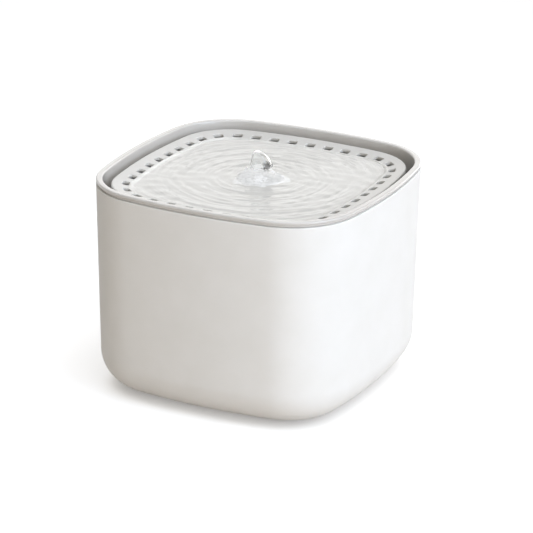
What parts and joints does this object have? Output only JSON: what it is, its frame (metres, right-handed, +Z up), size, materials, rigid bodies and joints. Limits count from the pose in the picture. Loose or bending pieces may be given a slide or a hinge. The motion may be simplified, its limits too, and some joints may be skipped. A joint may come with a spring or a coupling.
{
  "type": "pet water fountain",
  "caption": "Square drinking fountain for a cat or small dog: casing, lift-out tank, wireless pump, filter stack and a slotted tray over which the water spreads.",
  "frame": {"origin": "on the floor, under the middle of the fountain", "axes": "+Z up, -Y towards the front, +Y towards the back, where the power inlet is"},
  "size_m": [0.19, 0.19, 0.1572],
  "materials": {
    "casing_white": "fine matt moulded ABS",
    "tank_grey": "smooth moulded ABS",
    "tray_pale": "smooth moulded ABS",
    "water": "clear, rippled",
    "foot_rubber": "matt",
    "seal_silicone": "satin",
    "screw_steel": "plain",
    "board_green": "satin",
    "socket_black": "satin",
    "coil_copper": "enamelled wire",
    "ferrite_dark": "matt",
    "core_steel": "laminated",
    "pump_white": "satin moulded ABS",
    "impeller_blue": "satin moulded POM",
    "magnet_dark": "coated",
    "shaft_ceramic": "polished",
    "foam_dark": "open cell",
    "basin_clear": "smooth",
    "cartridge_white": "satin moulded PP",
    "cotton_white": "felted",
    "carbon_black": "granular",
    "resin_amber": "beads"
  },
  "bodies": {
    "base": {"outer_shell": "casing_white", "base_cover": "casing_white", "base_gasket": "seal_silicone", "base_screws": "screw_steel", "rubber_feet": "foot_rubber", "power_socket": "socket_black", "control_board": "board_green", "board_posts": "casing_white", "transmitter_coil": "coil_copper", "transmitter_ferrite": "ferrite_dark"},
    "tank": {"water_tank": "tank_grey", "tank_ribs": "tank_grey"},
    "pump": {"pump_damper": "seal_silicone", "pump_base": "pump_white", "receiver_coil": "coil_copper", "receiver_ferrite": "ferrite_dark", "stator_core": "core_steel", "stator_windings": "coil_copper", "pump_housing": "pump_white", "intake_foam": "foam_dark", "rotor_shaft": "shaft_ceramic", "shaft_bushes": "seal_silicone", "volute_plate": "pump_white", "pump_cover": "pump_white", "riser_seal": "seal_silicone", "riser_tube": "pump_white"},
    "rotor": {"rotor_magnet": "magnet_dark", "impeller": "impeller_blue"},
    "basin": {"filter_basin": "basin_clear", "filter_well": "basin_clear"},
    "cartridge": {"cartridge_case": "cartridge_white", "cartridge_lid": "cartridge_white", "resin_bed": "resin_amber", "carbon_bed": "carbon_black", "cotton_pad": "cotton_white"},
    "tray": {"drinking_tray": "tray_pale", "spout_nozzle": "tray_pale", "spout_seal": "seal_silicone", "water_surface": "water"}
  },
  "joints": [
    {"name": "tank_lift", "type": "slide", "parent": "base", "child": "tank", "axis": [0, 0, 1], "range_m": [0, 0.13]},
    {"name": "pump_lift", "type": "slide", "parent": "tank", "child": "pump", "axis": [0, 0, 1], "range_m": [0, 0.125]},
    {"name": "impeller_spin", "type": "hinge", "parent": "pump", "child": "rotor", "pos_m": [0, 0, 0.06], "axis": [0, 0, 1], "continuous": true},
    {"name": "basin_lift", "type": "slide", "parent": "pump", "child": "basin", "axis": [0, 0, 1], "range_m": [0, 0.06]},
    {"name": "cartridge_lift", "type": "slide", "parent": "basin", "child": "cartridge", "axis": [0, 0, 1], "range_m": [0, 0.04]},
    {"name": "tray_lift", "type": "slide", "parent": "cartridge", "child": "tray", "axis": [0, 0, 1], "range_m": [0, 0.03]}
  ]
}
